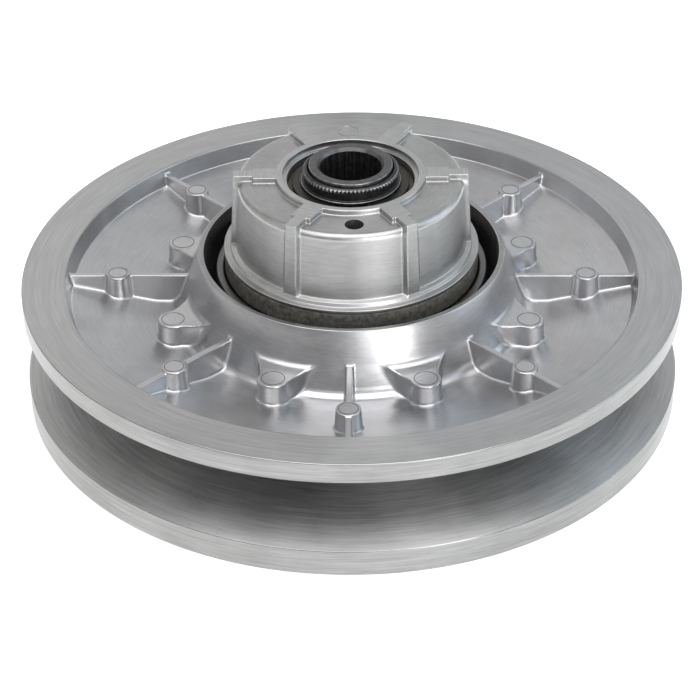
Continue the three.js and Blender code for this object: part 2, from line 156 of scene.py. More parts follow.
# ---- outlines ------------------------------------------------------------------------------------
def rounded(points, closed=False):
    """A polyline through [r, z] or [r, z, corner radius] points, with the corners as arcs."""
    path = []
    count = len(points)
    for i, point in enumerate(points):
        here = np.array(point[:2], float)
        radius = point[2] if len(point) > 2 else 0
        if radius == 0 or (not closed and i in (0, count - 1)):
            path.append(here)
            continue
        before = np.array(points[i - 1][:2], float) - here
        after = np.array(points[(i + 1) % count][:2], float) - here
        reach_limit = 0.49 * min(np.linalg.norm(before), np.linalg.norm(after))
        before /= np.linalg.norm(before)
        after /= np.linalg.norm(after)
        half = 0.5 * math.acos(max(-1, min(1, float(before @ after))))
        reach = min(radius / math.tan(half), reach_limit)
        radius = reach * math.tan(half)
        centre = here + (before + after) / np.linalg.norm(before + after) * radius / math.sin(half)
        start = here + before * reach - centre
        end = here + after * reach - centre
        sweep = math.pi - 2 * half
        steps = max(2, min(10, round(math.degrees(sweep) / 12)))
        side = math.copysign(1, start[0] * end[1] - start[1] * end[0])
        for step in range(steps + 1):
            angle = side * sweep * step / steps
            cos, sin = math.cos(angle), math.sin(angle)
            path.append(centre + np.array([cos * start[0] - sin * start[1],
                                           sin * start[0] + cos * start[1]]))
    return np.array(path)


def outline_distance(outline, r, z):
    """Signed distance from points to a closed outline in the [r, z] plane, negative inside."""
    r, z = np.broadcast_arrays(r, z)
    nearest = np.full(r.shape, 1e9)
    inside = np.zeros(r.shape, bool)
    for (r0, z0), (r1, z1) in zip(outline, np.roll(outline, -1, axis=0)):
        dr, dz = r1 - r0, z1 - z0
        length2 = dr * dr + dz * dz
        if length2 < 1e-12:
            continue
        share = np.clip(((r - r0) * dr + (z - z0) * dz) / length2, 0, 1)
        nearest = np.minimum(nearest, np.hypot(r - r0 - share * dr, z - z0 - share * dz))
        crosses = (z0 > z) != (z1 > z)
        if dz != 0:
            inside ^= crosses & (r < r0 + (z - z0) * dr / dz)
    return np.where(inside, -nearest, nearest)


def join(a, b, fillet):
    """Union of two distance fields, with a fillet where they meet."""
    blend = np.maximum(fillet - np.abs(a - b), 0) / fillet
    return np.minimum(a, b) - blend * blend * fillet / 4


def common(a, b, rounding):
    """Intersection of two distance fields, with a rounded edge."""
    return -join(-a, -b, rounding)


# ---- a solid of revolution whose cast side is a distance field -----------------------------------
def surface_net(field, rs, ts, zs):
    """The zero surface of field(r, angle, z) on a full-turn grid, as vertices and quads."""
    r, t, z = rs[:, None, None], ts[None, :, None], zs[None, None, :]
    value = np.broadcast_to(field(r, t, z), (len(rs), len(ts), len(zs)))
    inside = value < 0
    shape = (len(rs) - 1, len(ts), len(zs) - 1)
    total = np.zeros(shape + (3,))
    count = np.zeros(shape)
    step_t = (np.roll(ts, -1) - ts) % TURN
    grid = [np.broadcast_to(a, value.shape) for a in (r, t, z)]
    quads = []

    def crossing(axis):
        """Where the surface cuts the edges along one axis, and the point it cuts them at."""
        if axis == 1:
            other, other_in = np.roll(value, -1, 1), np.roll(inside, -1, 1)
            first, first_in = value, inside
            low = grid
        else:
            first, other = [np.take(value, range(a, value.shape[axis] - 1 + a), axis) for a in (0, 1)]
            first_in, other_in = first < 0, other < 0
            low = [np.take(g, range(value.shape[axis] - 1), axis) for g in grid]
        cut = first_in != other_in
        share = np.where(cut, first / np.where(cut, first - other, 1), 0)
        point = [np.array(a, float) for a in low]
        if axis == 0:
            point[0] += share * np.diff(rs)[:, None, None]
        elif axis == 1:
            point[1] += share * step_t[None, :, None]
        else:
            point[2] += share * np.diff(zs)[None, None, :]
        return cut, first_in, point

    for axis in range(3):
        cut, outward, point = crossing(axis)
        index = np.argwhere(cut)
        flags = outward[cut]
        values = np.stack([p[cut] for p in point], 1)
        around = [a for a in range(3) if a != axis]
        cells = []
        for d0, d1 in ((0, 0), (1, 0), (1, 1), (0, 1)):
            cell = index.copy()
            cell[:, around[0]] -= d0
            cell[:, around[1]] -= d1
            cells.append(cell)
        whole = np.ones(len(index), bool)
        for cell in cells:
            fits = (cell[:, 0] >= 0) & (cell[:, 0] < shape[0])
            fits &= (cell[:, 2] >= 0) & (cell[:, 2] < shape[2])
            whole &= fits
            wrapped = cell[fits]
            spot = values[fits].copy()
            spot[wrapped[:, 1] < 0, 1] += TURN          # the cell before the seam sees it a turn on
            key = (wrapped[:, 0], wrapped[:, 1] % shape[1], wrapped[:, 2])
            np.add.at(total, key, spot)
            np.add.at(count, key, 1)
        keys = [np.ravel_multi_index((c[whole, 0], c[whole, 1] % shape[1], c[whole, 2]), shape)
                for c in cells]
        flip = flags[whole] ^ (axis == 1)
        quad = np.stack(keys, 1)
        quad[~flip] = quad[~flip][:, ::-1]
        quads.append(quad)

    quads = np.concatenate(quads)
    used, quads = np.unique(quads, return_inverse=True)
    quads = quads.reshape(-1, 4)
    rr, tt, zz = total.reshape(-1, 3)[used].T / count.reshape(-1)[used]
    for _ in range(4):
        rr, tt, zz = pulled_to_surface(field, rr, tt, zz)
    return np.stack([rr, tt, zz], 1), quads


def pulled_to_surface(field, r, t, z):
    """One Newton step towards the zero surface, at most 0.15 mm long."""
    small, most = 0.01, 0.15
    value = field(r, t, z)
    slope_r = (field(r + small, t, z) - field(r - small, t, z)) / (2 * small)
    slope_t = (field(r, t + small / r, z) - field(r, t - small / r, z)) / (2 * small)
    slope_z = (field(r, t, z + small) - field(r, t, z - small)) / (2 * small)
    steep = np.maximum(slope_r ** 2 + slope_t ** 2 + slope_z ** 2, 0.05)
    step = np.clip(value / steep, -most, most)
    return r - step * slope_r, t - step * slope_t / r, z - step * slope_z


def rims(vertices, quads):
    """The open edges of a net as loops in order of angle, the innermost loop first."""
    edges = np.concatenate([quads[:, [i, (i + 1) % 4]] for i in range(4)])
    key = np.sort(edges, 1)
    _, first, count = np.unique(key, axis=0, return_index=True, return_counts=True)
    ends = np.unique(edges[first[count == 1]])
    middle = 0.5 * (vertices[ends, 0].min() + vertices[ends, 0].max())
    loops = []
    for part in (ends[vertices[ends, 0] < middle], ends[vertices[ends, 0] >= middle]):
        loops.append(part[np.argsort(vertices[part, 1] % TURN)])
    return loops


def turned_between(vertices, quads, outline):
    """Closes a net with a turned surface that runs from its outer rim along outline to its inner."""
    inner, outer = rims(vertices, quads)
    if len(inner) != len(outer):
        raise ValueError(f"the net's rims differ: {len(inner)} and {len(outer)} points")
    angles = 0.5 * (vertices[inner, 1] + vertices[outer, 1])
    angles = np.where(np.abs(vertices[inner, 1] - vertices[outer, 1]) < 1, angles, vertices[outer, 1])
    count = len(outer)
    rings = [outer]
    start = len(vertices)
    for r, z in outline:
        rings.append(np.arange(start, start + count))
        start += count
        vertices = np.concatenate([vertices, np.stack(
            [np.full(count, r), angles, np.full(count, z)], 1)])
    rings.append(inner)
    for a, b in zip(rings, rings[1:]):
        quads = np.concatenate([quads, np.stack([a, np.roll(a, -1), np.roll(b, -1), b], 1)])
    return vertices, quads


def place_in_space(vertices):
    """[r, angle, z] points in mm as [x, y, z] points in metres."""
    r, t, z = vertices.T
    return np.stack([r * np.cos(t), r * np.sin(t), z], 1) * MM


# ---- meshes --------------------------------------------------------------------------------------
def mesh_object(name, points, faces, materials, sharp_degrees=SHARP_DEGREES):
    """A piece from points in metres, with its normals facing out and its sharp edges marked."""
    mesh = bpy.data.meshes.new(name)
    faces = np.asarray(faces)
    mesh.vertices.add(len(points))
    mesh.vertices.foreach_set("co", np.asarray(points, np.float32).ravel())
    mesh.loops.add(faces.size)
    mesh.loops.foreach_set("vertex_index", faces.ravel().astype(np.int32))
    mesh.polygons.add(len(faces))
    mesh.polygons.foreach_set("loop_start", np.arange(0, faces.size, faces.shape[1], dtype=np.int32))
    mesh.update(calc_edges=True)
    mesh.validate()
    return finished(name, mesh, materials, sharp_degrees)


def finished(name, mesh, materials, sharp_degrees=SHARP_DEGREES):
    """The mesh as an object in the scene, shaded smooth, with its materials."""
    tidy = bmesh.new()
    tidy.from_mesh(mesh)
    bmesh.ops.recalc_face_normals(tidy, faces=tidy.faces)
    tidy.to_mesh(mesh)
    tidy.free()
    mesh.polygons.foreach_set("use_smooth", [True] * len(mesh.polygons))
    mesh.set_sharp_from_angle(angle=math.radians(sharp_degrees))
    for material in materials:
        mesh.materials.append(material)
    piece = bpy.data.objects.new(name, mesh)
    bpy.context.scene.collection.objects.link(piece)
    return piece


def lathe(name, outline, materials, sides=192, ripple=None):
    """A closed [r, z] outline turned about Z. ripple(r, angle, z) may move the radius."""
    angles = np.arange(sides) * TURN / sides
    rings = len(outline)
    r = np.repeat(outline[:, 0], sides)
    z = np.repeat(outline[:, 1], sides)
    t = np.tile(angles, rings)
    if ripple is not None:
        r = ripple(r, t, z)
    index = np.arange(rings * sides).reshape(rings, sides)
    ahead = np.roll(index, -1, 0)
    faces = np.stack([index, np.roll(index, -1, 1), np.roll(ahead, -1, 1), ahead], -1).reshape(-1, 4)
    return mesh_object(name, place_in_space(np.stack([r, t, z], 1)), faces, materials)


def paint(piece, chooser):
    """Gives each face the material that chooser(r, z, normal r, normal z) picks, as arrays."""
    mesh = piece.data
    count = len(mesh.polygons)
    centre = np.empty(count * 3)
    normal = np.empty(count * 3)
    mesh.polygons.foreach_get("center", centre)
    mesh.polygons.foreach_get("normal", normal)
    centre = centre.reshape(-1, 3) / MM
    normal = normal.reshape(-1, 3)
    r = np.hypot(centre[:, 0], centre[:, 1])
    normal_r = (normal[:, 0] * centre[:, 0] + normal[:, 1] * centre[:, 1]) / np.maximum(r, 1e-6)
    slots = chooser(r, centre[:, 2], normal_r, normal[:, 2])
    mesh.polygons.foreach_set("material_index", slots.astype(np.int32))
    mesh.update()


def folded(t, sectors):
    """Angle from the nearest of the evenly spaced planes that start at angle 0."""
    pitch = TURN / sectors
    return np.abs((t + pitch / 2) % pitch - pitch / 2)


def sector_angles(sectors, zones):
    """Grid angles of a full turn. zones are (width, step) pairs in degrees across half a sector."""
    half = [0.0]
    for width, step in zones:
        steps = max(1, round(width / step))
        half += list(half[-1] + width * (np.arange(steps) + 1) / steps)
    half = np.array(half) * (180 / sectors / half[-1])
    sector = np.concatenate([half, 360 / sectors - half[-2:0:-1]])
    turn = np.concatenate([sector + i * 360 / sectors for i in range(sectors)])
    return np.radians(turn)


# ---- materials -----------------------------------------------------------------------------------
class Nodes:
    """Short calls for the shader nodes that the finishes share."""

    def __init__(self, name):
        self.material = bpy.data.materials.new(name)
        self.material.use_nodes = True
        self.tree = self.material.node_tree
        self.shader = self.tree.nodes["Principled BSDF"]

    def add(self, kind, inputs=(), **settings):
        node = self.tree.nodes.new(kind)
        for key, value in settings.items():
            setattr(node, key, value)
        for socket, value in inputs:
            if isinstance(value, bpy.types.NodeSocket):
                self.tree.links.new(value, node.inputs[socket])
            else:
                node.inputs[socket].default_value = value
        return node

    def maths(self, operation, a, b):
        return self.add("ShaderNodeMath", [(0, a), (1, b)], operation=operation).outputs[0]

    def noise(self, vector, scale, detail=3.0, roughness=0.5):
        inputs = [("Vector", vector), ("Scale", scale), ("Detail", detail), ("Roughness", roughness)]
        return self.add("ShaderNodeTexNoise", inputs).outputs["Fac"]

    def ramp(self, value, low, high, start=0.0, end=1.0):
        node = self.add("ShaderNodeMapRange", [("Value", value), ("From Min", start), ("From Max", end),
                                               ("To Min", low), ("To Max", high)])
        return node.outputs["Result"]

    def colours(self, value, low, high, start=0.3, end=0.7):
        node = self.add("ShaderNodeValToRGB", [("Fac", value)])
        stops = node.color_ramp.elements
        stops[0].position, stops[0].color = start, (*low, 1)
        stops[1].position, stops[1].color = end, (*high, 1)
        return node.outputs["Color"]

    def place(self):
        return self.add("ShaderNodeTexCoord").outputs["Object"]

    def vector(self, operation, a, b=None):
        inputs = [(0, a)] if b is None else [(0, a), (1, b)]
        return self.add("ShaderNodeVectorMath", inputs, operation=operation)

    def round_axis(self):
        """The direction out from the Z axis, a length along the turned outline, and the radius."""
        spot = self.add("ShaderNodeSeparateXYZ", [(0, self.place())])
        flat = self.add("ShaderNodeCombineXYZ", [(0, spot.outputs[0]), (1, spot.outputs[1])])
        radius = self.vector("LENGTH", flat.outputs[0]).outputs["Value"]
        along = self.maths("ADD", radius, self.maths("MULTIPLY", spot.outputs[2], 0.83))
        return self.vector("NORMALIZE", flat.outputs[0]).outputs["Vector"], along, radius

    def streaks(self, axis, scale, reach, detail=2.0):
        """Noise drawn out round the Z axis: scale sets the width of a streak, reach its angle."""
        direction, along, _ = axis
        drawn = self.vector("MULTIPLY", direction, [1 / (scale * reach)] * 3).outputs["Vector"]
        line = self.add("ShaderNodeCombineXYZ", [(2, along)]).outputs[0]
        return self.noise(self.vector("ADD", drawn, line).outputs["Vector"], scale, detail, 0.6)

    def tangent(self, amount):
        """Stretches the gloss across the turning lines."""
        turning = self.add("ShaderNodeTangent", direction_type="RADIAL", axis="Z")
        self.tree.links.new(turning.outputs[0], self.shader.inputs["Tangent"])
        self.constants(Anisotropic=amount, Anisotropic_Rotation=0.25)

    def bump(self, height, strength, distance, normal=None):
        inputs = [("Height", height), ("Strength", strength), ("Distance", distance)]
        if normal is not None:
            inputs.append(("Normal", normal))
        return self.add("ShaderNodeBump", inputs).outputs["Normal"]

    def connect(self, **sockets):
        names = {"colour": "Base Color", "roughness": "Roughness", "normal": "Normal"}
        for key, value in sockets.items():
            self.tree.links.new(value, self.shader.inputs[names[key]])

    def constants(self, **values):
        for key, value in values.items():
            self.shader.inputs[key.replace("_", " ")].default_value = value


def cast_finish(name, dark, light, roughness):
    """Satin die casting: cloudy tone, faint polishing streaks, soft flow marks and a fine skin."""
    m = Nodes(name)
    spot = m.place()
    axis = m.round_axis()
    clouds = m.noise(spot, 45.0, 5.0, 0.6)
    skin = m.noise(spot, 1700.0, 3.0, 0.6)
    flow = m.noise(spot, 120.0, 2.0, 0.5)
    fine = m.streaks(axis, 2600.0, 0.10)
    tone = m.maths("ADD", m.maths("MULTIPLY", clouds, 0.55), m.maths("MULTIPLY", fine, 0.45))
    relief = m.bump(skin, 0.20, 0.00005, m.bump(flow, 0.16, 0.0005))
    m.connect(colour=m.colours(tone, dark, light, 0.36, 0.64),
              roughness=m.ramp(clouds, roughness - 0.04, roughness + 0.05, 0.3, 0.7),
              normal=m.bump(fine, 0.10, 0.00003, relief))
    m.constants(Metallic=1.0)
    return m.material


def turned_finish(name, dark, light, roughness, groove=1.0, stretch=0.35, lit_band=None):
    """Lathe-turned face: fine broken rings round the axis, brushed patches, worn tone.
    The last argument, a pair of radii, paints light and shade: the tone climbs towards light from the first
    radius to the second, a painted light, and inside the first radius it stays at half, a painted shade."""
    m = Nodes(name)
    axis = m.round_axis()
    fine = m.streaks(axis, 3600.0, 0.12, 3.0)
    bands = m.streaks(axis, 900.0, 0.35)
    patches = m.noise(axis[0], 2.1, 3.0, 0.55)
    clouds = m.noise(m.place(), 60.0, 4.0, 0.6)
    worn = m.maths("ADD", m.maths("MULTIPLY", fine, 0.4), m.maths("MULTIPLY", bands, 0.25))
    cast = m.maths("ADD", m.maths("MULTIPLY", clouds, 0.15), m.maths("MULTIPLY", patches, 0.2))
    tone = m.ramp(m.maths("ADD", worn, cast), 0.0, 1.0, 0.38, 0.62)
    # painted light on the outer strip, painted shade further in
    if lit_band:
        climb = m.ramp(axis[2], 0.0, 0.5, lit_band[0] * MM, lit_band[1] * MM)
        tone = m.maths("ADD", m.maths("MULTIPLY", tone, 0.5), climb)
    m.connect(colour=m.colours(tone, dark, light, 0.0, 1.0),
              roughness=m.ramp(cast, roughness - 0.05, roughness + 0.06, 0.13, 0.22),
              normal=m.bump(fine, 0.30 * groove, 0.00004, m.bump(bands, 0.08 * groove, 0.0002)))
    m.constants(Metallic=1.0)
    m.tangent(stretch)
    return m.material


def plain_finish(name, dark, light, roughness, metallic, scale=90.0, skin=0.2):
    """Smooth small parts: a mottled tone and a faint skin, for steel, polymer or bronze."""
    m = Nodes(name)
    spot = m.place()
    mottle = m.noise(spot, scale, 5.0, 0.65)
    fine = m.noise(spot, 2200.0, 2.0, 0.5)
    m.connect(colour=m.colours(mottle, dark, light),
              roughness=m.ramp(mottle, roughness - 0.07, roughness + 0.08, 0.3, 0.7),
              normal=m.bump(fine, skin, 0.00004))
    m.constants(Metallic=metallic)
    return m.material


web_metal = cast_finish("web_metal", (0.46, 0.46, 0.47), (0.60, 0.60, 0.61), 0.32)
rim_metal = turned_finish("rim_metal", (0.41, 0.41, 0.41), (0.58, 0.58, 0.58), 0.36, 0.9, 0.65)
edge_metal = turned_finish("edge_metal", (0.26, 0.26, 0.257), (0.42, 0.42, 0.417), 0.24, 0.6, 0.6)
# belt faces: painted light on the strip from r 124 to 139 mm near the rim edge, painted shade deeper in the
# groove
belt_metal = turned_finish("belt_metal", (0.25, 0.25, 0.25), (0.64, 0.64, 0.64), 0.45, 1.2, 0.8, (124, 139))
bore_metal = turned_finish("bore_metal", (0.14, 0.14, 0.14), (0.26, 0.26, 0.26), 0.40)
cup_metal = cast_finish("cup_metal", (0.38, 0.38, 0.377), (0.53, 0.53, 0.527), 0.37)
cup_turned = turned_finish("cup_turned", (0.44, 0.44, 0.435), (0.60, 0.60, 0.595), 0.35, 1.0, 0.2)
black_steel = plain_finish("black_steel", (0.035, 0.035, 0.037), (0.085, 0.085, 0.088), 0.36, 0.85, 400.0)
# lighter steel for worn edges, also a painted highlight along the post's shoulder
wear_and_highlight_steel = plain_finish("wear_and_highlight_steel", (0.17, 0.17, 0.17), (0.34, 0.34, 0.34), 0.30, 1.0, 400.0)
bare_steel = plain_finish("bare_steel", (0.22, 0.21, 0.19), (0.34, 0.33, 0.31), 0.36, 1.0)
cam_steel = plain_finish("cam_steel", (0.055, 0.045, 0.035), (0.13, 0.115, 0.09), 0.42, 0.8, 260.0)
spring_steel = plain_finish("spring_steel", (0.06, 0.065, 0.08), (0.12, 0.125, 0.14), 0.32, 0.9)
bush_steel = plain_finish("bush_steel", (0.09, 0.09, 0.09), (0.17, 0.17, 0.17), 0.36, 0.9, 400.0)
clip_steel = plain_finish("clip_steel", (0.035, 0.032, 0.028), (0.075, 0.07, 0.06), 0.38, 0.8, 200.0)
brown_polymer = plain_finish("brown_polymer", (0.036, 0.034, 0.028), (0.17, 0.162, 0.142), 0.50, 0.0,
                             520.0, 0.6)
bronze = plain_finish("bronze", (0.22, 0.13, 0.05), (0.36, 0.23, 0.10), 0.45, 1.0)


# ---- sliding sheave ------------------------------------------------------------------------------
def under_belt(r):
    """Height of the sliding sheave's belt face."""
    return SLIDING_RIM_LOW - (RIM_R - r) * TAN_V


def over_belt(r):
    """Height of the fixed sheave's belt face."""
    return FIXED_RIM_TOP + (RIM_R - r) * TAN_V


# The outlines below are [r, z] or [r, z, corner radius] points in mm. The net covers the cast side between
# two radii, and the outline closes it beyond them.
WEB_NET_FROM, WEB_NET_TO = 66.2, 123.0
web_outline = rounded([
    (60, 0), (130, 0), (130, SLIDING_RIM_TOP),
    (RIM_INNER_R, SLIDING_RIM_TOP, 0.35), (119.4, 46.0, 0.6), (84, 38.5, 12),
    (74.3, 38.3, 6.0), (69.4, 51.1, 40), (66.4, 59.6, 40), (65, 63.8), (60, 63.8),
], closed=True)


def web_field(r, t, z):
    """The cast face of the sliding sheave: web, eight ribs with pins, eight tongue bosses."""
    body = outline_distance(web_outline, r, z)
    rib_t = folded(t, WEB_SECTORS)
    rib_x, rib_y = r * np.cos(rib_t), r * np.sin(rib_t)
    rib = common(rib_y - WEB_RIB_HALF - (WEB_RIB_TOP - z) * WEB_DRAFT, z - WEB_RIB_TOP, 0.55)
    rib = common(rib, np.maximum(WEB_RIB_FROM - rib_x, rib_x - WEB_RIB_TO), 0.1)
    pin = np.hypot(rib_x - PIN_CIRCLE_R, rib_y) - (PIN_R + (WEB_PIN_TOP - z) * PIN_DRAFT)
    pin = common(pin, z - WEB_PIN_TOP, 0.5)
    boss_t = TURN / WEB_SECTORS / 2 - rib_t
    boss_x, boss_y = r * np.cos(boss_t), r * np.sin(boss_t)
    inward = np.maximum(BOSS_CIRCLE_R - boss_x, 0)
    boss_half = BOSS_R + (BOSS_TOP - z) * WEB_DRAFT
    widening, soft_start = 0.7, 3.2
    flare = widening * (np.hypot(inward, soft_start) - soft_start)
    slope = widening * inward / np.hypot(inward, soft_start)
    plan = np.where(boss_x > BOSS_CIRCLE_R, np.hypot(boss_x - BOSS_CIRCLE_R, boss_y) - boss_half,
                    (boss_y - boss_half - flare) / np.hypot(1, slope))
    flat_length, climb, soft_climb = 4.6, 0.25, 1.5
    rise = np.maximum(BOSS_CIRCLE_R - flat_length - boss_x, 0)
    boss = common(plan, z - BOSS_TOP - climb * (np.hypot(rise, soft_climb) - soft_climb), 0.8)
    boss = np.maximum(boss, BOSS_FROM - boss_x)
    solid = join(body, boss, np.clip(1.2 + (z - 43) * 0.2, 1.2, 2.0))
    solid = join(solid, rib, 1.2)
    return join(solid, pin, 0.95)


def sliding_sheave():
    rs = np.concatenate([np.arange(WEB_NET_FROM, 90, 0.45), np.arange(90, 108, 0.5),
                         np.arange(108, WEB_NET_TO + 0.3, 0.55)])
    ts = sector_angles(WEB_SECTORS, [(1.2, 0.2), (2.6, 0.29), (7.7, 0.64), (8.0, 0.31), (3.0, 0.5)])
    zs = np.arange(36.2, 61.4, 0.45)
    vertices, quads = surface_net(web_field, rs, ts, zs)
    vertices[:, 1] += WEB_TURN
    rest = rounded([
        (WEB_NET_TO + 0.2, SLIDING_RIM_TOP), (RIM_R, SLIDING_RIM_TOP, RIM_EDGE),
        (RIM_R, SLIDING_RIM_LOW, RIM_EDGE), (SLIDING_BELT_R, under_belt(SLIDING_BELT_R), 1.5),
        (SLIDING_HUB_R, SLIDING_FOOT, 1.5),
        (TUBE_BORE_R, SLIDING_FOOT, 0.8), (TUBE_BORE_R, TUBE_TOP, 0.8), (TUBE_R, TUBE_TOP, 1.0),
        (TUBE_R, WELL_FLOOR - 0.5, 1.5), (36.5, WELL_FLOOR - 0.5, 0.5), (37, WELL_FLOOR, 0.3),
        (GUIDE_BORE_R, WELL_FLOOR, 1.5), (GUIDE_BORE_R, GUIDE_TOP, 0.8), (GUIDE_R, GUIDE_TOP, 0.6),
        (GUIDE_R, 37.2, 1.2), (59, 36.2, 0.6), (60.5, 37.8, 1.2), (62.0, 58, 8),
        (COLLAR_BORE_R, COLLAR_TOP, 0.4), (COLLAR_R, COLLAR_TOP, 0.4),
        (65.1, COLLAR_TOP - 0.7), (WEB_NET_FROM - 0.3, 60.9),
    ])
    vertices, quads = turned_between(vertices, quads, rest)
    piece = mesh_object("sliding_sheave_shell", place_in_space(vertices), quads,
                        [web_metal, rim_metal, belt_metal, edge_metal, bore_metal], NET_SHARP_DEGREES)

    def chooser(r, z, normal_r, normal_z):
        cast, rim, belt, edge, bore = range(5)
        slots = np.full(len(r), cast)
        slots[(r > RIM_INNER_R - 0.2) & (z > SLIDING_RIM_LOW)] = rim
        slots[(r > BELT_FROM_R) & (normal_z < -0.5)] = belt
        slots[(r > RIM_R - 0.6) & (normal_r > 0.7)] = edge
        slots[(r < COLLAR_R + 0.3) & (normal_z > 0.95) & (z > COLLAR_TOP - 0.2)] = edge
        slots[r < COLLAR_BORE_R - 0.35] = bore
        return slots

    paint(piece, chooser)
    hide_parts("sliding_sheave")
    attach(piece, "sliding_sheave")


# ---- fixed sheave --------------------------------------------------------------------------------
FIXED_NET_FROM, FIXED_NET_TO = 43.4, 123.0
under_outline = rounded([
    (30, 60), (30, FIXED_HUB_FOOT), (UNDER_HUB_R, FIXED_HUB_FOOT, 0.8), (46.5, 19.0, 3),
    (66, 20.4, 8), (119.6, 10.3, 0.8), (RIM_INNER_R, FIXED_FOOT, 0.4), (130, FIXED_FOOT), (130, 60),
], closed=True)


def under_field(r, t, z):
    """The cast underside of the fixed sheave: web, eight ribs with pins, and the hub's wall."""
    body = outline_distance(under_outline, r, z)
    rib_t = folded(t, WEB_SECTORS)
    rib_x, rib_y = r * np.cos(rib_t), r * np.sin(rib_t)
    foot = UNDER_RIB_FOOT + np.maximum(51 - rib_x, 0) * 1.2
    rib = common(rib_y - UNDER_RIB_HALF - (z - UNDER_RIB_FOOT) * UNDER_DRAFT, foot - z, 0.7)
    rib = common(rib, np.maximum(UNDER_RIB_FROM - rib_x, rib_x - UNDER_RIB_TO), 0.1)
    pin = np.hypot(rib_x - PIN_CIRCLE_R, rib_y) - (PIN_R + (z - UNDER_PIN_FOOT) * PIN_DRAFT)
    pin = common(pin, UNDER_PIN_FOOT - z, 0.8)
    solid = join(body, rib, 2.0)
    return join(solid, pin, 1.3)


def fixed_sheave():
    rs = np.arange(FIXED_NET_FROM, FIXED_NET_TO + 0.3, 0.75)
    ts = sector_angles(WEB_SECTORS, [(1.5, 0.3), (2.9, 0.4), (18.1, 0.9)])
    zs = np.arange(-0.35, 22.2, 0.6)
    vertices, quads = surface_net(under_field, rs, ts, zs)
    vertices[:, 1] += UNDER_TURN
    rest = rounded([
        (FIXED_NET_TO + 0.3, FIXED_FOOT), (RIM_R, FIXED_FOOT, RIM_EDGE), (RIM_R, FIXED_RIM_TOP, RIM_EDGE),
        (FIXED_BELT_R, over_belt(FIXED_BELT_R), 1.5), (FIXED_HUB_R, FIXED_HUB_TOP, 1.5),
        (FIXED_BORE_R, FIXED_HUB_TOP, 0.6),
        (FIXED_BORE_R, FIXED_HUB_FOOT, 0.5), (FIXED_NET_FROM - 0.2, FIXED_HUB_FOOT),
    ])
    vertices, quads = turned_between(vertices, quads, rest)
    piece = mesh_object("fixed_sheave_shell", place_in_space(vertices), quads,
                        [web_metal, rim_metal, belt_metal, edge_metal], NET_SHARP_DEGREES)
    cut_round_holes(piece, SCREW_CIRCLE_R, SCREWS, SCREW_HOLE_R, FIXED_HUB_FOOT - 1,
                    SCREW_HOLE_TOP, sharp_degrees=NET_SHARP_DEGREES)

    def chooser(r, z, normal_r, normal_z):
        cast, rim, belt, edge = range(4)
        slots = np.full(len(r), cast)
        slots[(r > RIM_INNER_R - 0.2) & (z < FIXED_RIM_TOP + 0.3)] = rim
        slots[(r > BELT_FROM_R) & (normal_z > 0.5)] = belt
        slots[(r > RIM_R - 0.6) & (normal_r > 0.7)] = edge
        slots[(r < UNDER_HUB_R + 0.5) & (z < FIXED_HUB_FOOT + 0.3)] = rim
        return slots

    paint(piece, chooser)
    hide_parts("fixed_sheave")
    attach(piece, "root")


def cut_round_holes(piece, circle_r, count, hole_r, low_z, high_z, angle=0.0, sides=40,
                    sharp_degrees=SHARP_DEGREES):
    """Cuts evenly spaced round holes along Z, on a circle round the axis."""
    cutter = bmesh.new()
    for i in range(count):
        turn = angle + i * TURN / count
        place = Matrix.Translation(Vector((circle_r * math.cos(turn), circle_r * math.sin(turn),
                                           (low_z + high_z) / 2)) * MM)
        bmesh.ops.create_cone(cutter, cap_ends=True, segments=sides, radius1=hole_r * MM,
                              radius2=hole_r * MM, depth=(high_z - low_z) * MM, matrix=place)
    mesh = bpy.data.meshes.new("cutter")
    cutter.to_mesh(mesh)
    cutter.free()
    tool = bpy.data.objects.new("cutter", mesh)
    bpy.context.scene.collection.objects.link(tool)
    change = piece.modifiers.new("holes", "BOOLEAN")
    change.operation, change.solver, change.object = "DIFFERENCE", "EXACT", tool
    graph = bpy.context.evaluated_depsgraph_get()
    result = bpy.data.meshes.new_from_object(piece.evaluated_get(graph))
    piece.modifiers.clear()
    piece.data = result
    bpy.data.objects.remove(tool)
    result.set_sharp_from_angle(angle=math.radians(sharp_degrees))


# ---- spring cup ----------------------------------------------------------------------------------
CUP_NET_FROM, CUP_NET_TO = 29.5, 51.7
cup_outline = rounded([
    (20, 50), (20, CUP_TOP + 9), (30.8, CUP_TOP + 9), (31.3, CUP_SECTOR_TOP, 0.35),
    (47.1, CUP_SECTOR_TOP, 3.0), (48.8, CUP_LEDGE + 0.5, 0.3), (50.7, CUP_LEDGE - 0.1, 0.25),
    (51.1, CUP_FLANGE_TOP, 0.3), (60, CUP_FLANGE_TOP), (60, 50),
], closed=True)


def cup_field(r, t, z):
    """The outside of the spring cup: ring, sunk sectors, six straps with wide inner blocks."""
    body = outline_distance(cup_outline, r, z)
    strap_t = folded(t, CUP_SECTORS)
    x, y = r * np.cos(strap_t), r * np.sin(strap_t)
    block = common(y - CUP_BLOCK_HALF - (CUP_TOP - z) * 0.06, x - CUP_BLOCK_R, 0.5)
    face = CUP_STRAP_R + (CUP_TOP - z) * 0.054
    flank = 0.55 * np.clip(face - x, 0, 2.2) * np.clip((CUP_SECTOR_TOP - z) / 3, 0, 1)
    strap = common(y - CUP_STRAP_HALF - (CUP_TOP - z) * 0.012 - flank, x - face, 0.4)
    solid = join(body, block, 0.4)
    solid = join(solid, strap, 0.5)
    return common(solid, z - CUP_TOP, 0.35)


